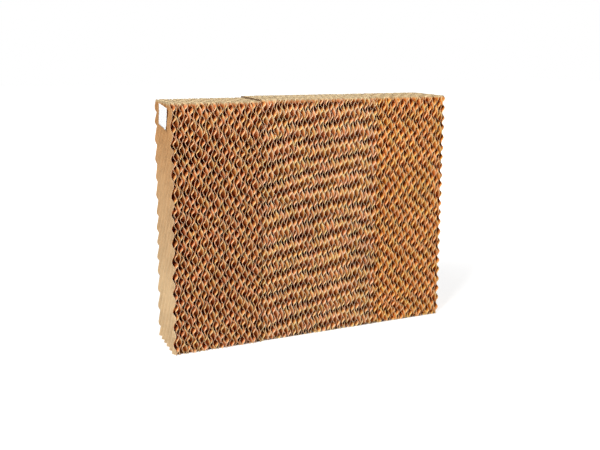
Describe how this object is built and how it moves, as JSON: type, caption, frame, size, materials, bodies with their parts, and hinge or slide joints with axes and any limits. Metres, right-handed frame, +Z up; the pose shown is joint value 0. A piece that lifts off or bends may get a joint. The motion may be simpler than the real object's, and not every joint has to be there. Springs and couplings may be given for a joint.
{
  "type": "evaporative cooling pad",
  "caption": "Upright evaporative cooling pad of cross-fluted paper sheets, set in sections side by side, that wets and cools the air drawn through it.",
  "frame": {"origin": "centre of the pad's box at the level of its bottom edge", "axes": "+X across the pad from the left section to the right one, +Y through the pad from the front face to the back face, +Z up"},
  "size_m": [0.7563, 0.159, 0.61],
  "materials": {
    "left_paper": "resin-stiffened kraft paper, matt, dark in the flutes",
    "middle_paper": "resin-stiffened kraft paper, matt, a little paler",
    "right_paper": "resin-stiffened kraft paper, matt, more orange",
    "label_paper": "blank white label, satin"
  },
  "bodies": {
    "root": {"left_steep_sheets": "left_paper", "left_shallow_sheets": "left_paper", "middle_steep_sheets": "middle_paper", "middle_shallow_sheets": "middle_paper", "right_steep_sheets": "right_paper", "right_shallow_sheets": "right_paper", "label": "label_paper"}
  },
  "joints": []
}
